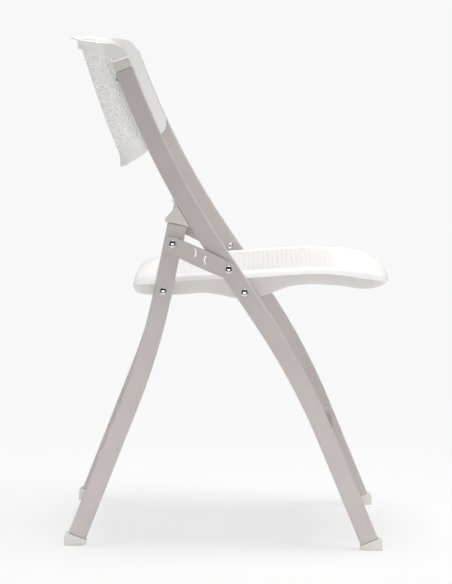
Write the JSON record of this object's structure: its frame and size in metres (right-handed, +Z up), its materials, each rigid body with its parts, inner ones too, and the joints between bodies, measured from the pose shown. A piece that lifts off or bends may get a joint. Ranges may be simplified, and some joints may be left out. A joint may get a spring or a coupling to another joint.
{
  "type": "folding chair",
  "caption": "Folding chair with a bent steel tube frame, a moulded seat and bowed perforated backrest, and side links that fold it flat.",
  "frame": {"origin": "on the floor, under the middle of the open chair's outline", "axes": "+X toward the front edge of the seat, +Y to the sitter's left, +Z up"},
  "size_m": [0.5366, 0.462, 0.8227],
  "materials": {
    "frame_paint": "satin",
    "seat_plastic": "satin",
    "back_plastic": "satin",
    "cap_plastic": "satin",
    "foot_plastic": "matte",
    "rivet_chrome": "polished",
    "zinc_steel": "plated",
    "nylon": "matte"
  },
  "bodies": {
    "front_frame": {"front_crossbar": "frame_paint", "backrest_panel": "back_plastic", "front_tube_left": "frame_paint", "front_tube_right": "frame_paint", "upper_cap_left": "cap_plastic", "upper_cap_right": "cap_plastic", "cap_screw_left": "zinc_steel", "cap_screw_right": "zinc_steel", "front_foot_left": "foot_plastic", "front_foot_right": "foot_plastic", "backrest_screw_lower_left": "zinc_steel", "backrest_screw_lower_right": "zinc_steel", "backrest_screw_upper_left": "zinc_steel", "backrest_screw_upper_right": "zinc_steel", "seat_front_rivet_left": "rivet_chrome", "seat_front_rivet_right": "rivet_chrome", "seat_front_washer_left": "nylon", "seat_front_washer_right": "nylon", "link_front_rivet_left": "rivet_chrome", "link_front_rivet_right": "rivet_chrome", "link_front_spacer_left": "nylon", "link_front_spacer_right": "nylon"},
    "seat": {"seat_pan": "seat_plastic", "seat_rail_left": "zinc_steel", "seat_rail_right": "zinc_steel"},
    "rear_frame": {"rear_crossbar": "frame_paint", "rear_leg_left": "frame_paint", "rear_leg_right": "frame_paint", "rear_bumper_left": "cap_plastic", "rear_bumper_right": "cap_plastic", "rear_foot_left": "foot_plastic", "rear_foot_right": "foot_plastic", "seat_rear_rivet_left": "rivet_chrome", "seat_rear_rivet_right": "rivet_chrome", "seat_rear_washer_left": "nylon", "seat_rear_washer_right": "nylon"},
    "link_left": {"link_left": "frame_paint", "link_rear_rivet_left": "rivet_chrome", "link_rear_spacer_left": "nylon"},
    "link_right": {"link_right": "frame_paint", "link_rear_rivet_right": "rivet_chrome", "link_rear_spacer_right": "nylon"}
  },
  "joints": [
    {"name": "seat_fold", "type": "hinge", "parent": "front_frame", "child": "seat", "pos_m": [0.02976, 0, 0.4186], "axis": [0, -1, 0], "range_deg": [0, 106]},
    {"name": "rear_fold", "type": "hinge", "parent": "seat", "child": "rear_frame", "pos_m": [-0.10204, 0, 0.4186], "axis": [0, -1, 0], "range_deg": [-62.9, 0]},
    {"name": "link_left_fold", "type": "hinge", "parent": "front_frame", "child": "link_left", "pos_m": [0.00366, 0.2272, 0.4561], "axis": [0, -1, 0], "range_deg": [0, 125.3]},
    {"name": "link_right_fold", "type": "hinge", "parent": "front_frame", "child": "link_right", "pos_m": [0.00366, -0.2272, 0.4561], "axis": [0, -1, 0], "range_deg": [0, 125.3]}
  ],
  "couplings": [
    {"joint": "rear_fold", "follows": "seat_fold", "ratio": -0.5932},
    {"joint": "link_left_fold", "follows": "seat_fold", "ratio": 1.1813},
    {"joint": "link_right_fold", "follows": "seat_fold", "ratio": 1.1813}
  ]
}
